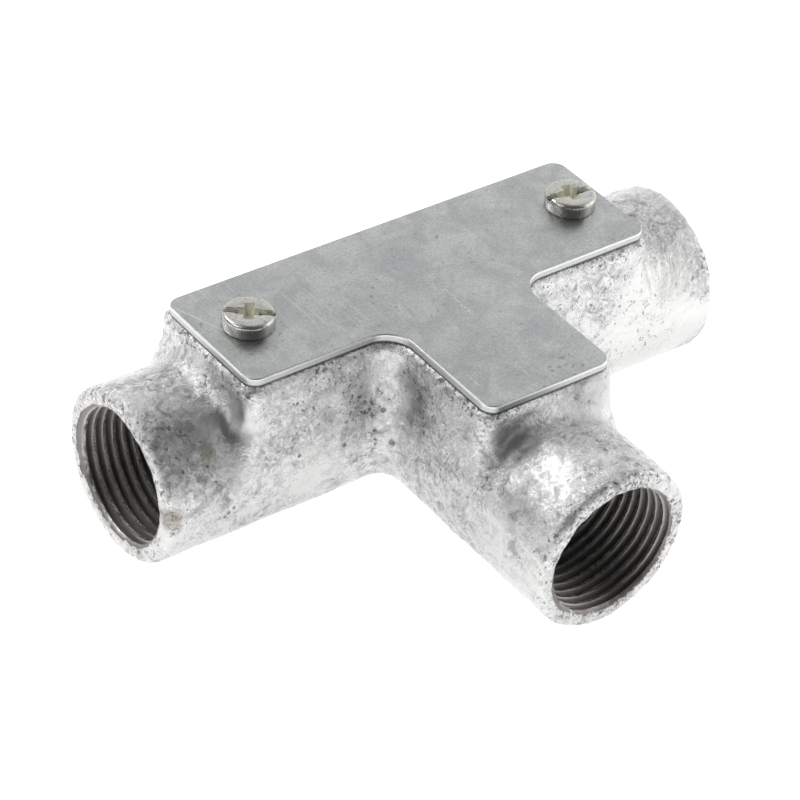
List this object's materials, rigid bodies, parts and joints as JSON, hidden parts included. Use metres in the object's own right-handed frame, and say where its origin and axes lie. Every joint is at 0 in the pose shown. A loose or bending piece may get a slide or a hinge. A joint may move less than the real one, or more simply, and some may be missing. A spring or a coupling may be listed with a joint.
{
  "type": "conduit inspection tee",
  "caption": "Galvanised cast conduit tee with a threaded mouth at each end of the run and of the branch, and a flat T-shaped cover held by screws over its wiring space.",
  "frame": {"origin": "bottom centre of the bounding box, on the surface the casting's round underside rests on", "axes": "+X along the run, -Y out of the branch, +Z out through the cover"},
  "size_m": [0.091, 0.057, 0.0308],
  "materials": {
    "galvanised_casting": "rough hot-dip zinc",
    "zinc_sheet": "zinc-plated sheet, fine scratches",
    "plated_screw": "bright zinc plating"
  },
  "bodies": {
    "casting": {"casting": "galvanised_casting"},
    "cover": {"cover": "zinc_sheet"},
    "screw_left": {"screw_left": "plated_screw"},
    "screw_right": {"screw_right": "plated_screw"}
  },
  "joints": [
    {"name": "cover_lift", "type": "slide", "parent": "casting", "child": "cover", "axis": [0, 0, 1], "range_m": [0, 0.015]},
    {"name": "screw_left_withdraw", "type": "slide", "parent": "cover", "child": "screw_left", "axis": [0, 0, 1], "range_m": [0, 0.008]},
    {"name": "screw_right_withdraw", "type": "slide", "parent": "cover", "child": "screw_right", "axis": [0, 0, 1], "range_m": [0, 0.008]}
  ]
}
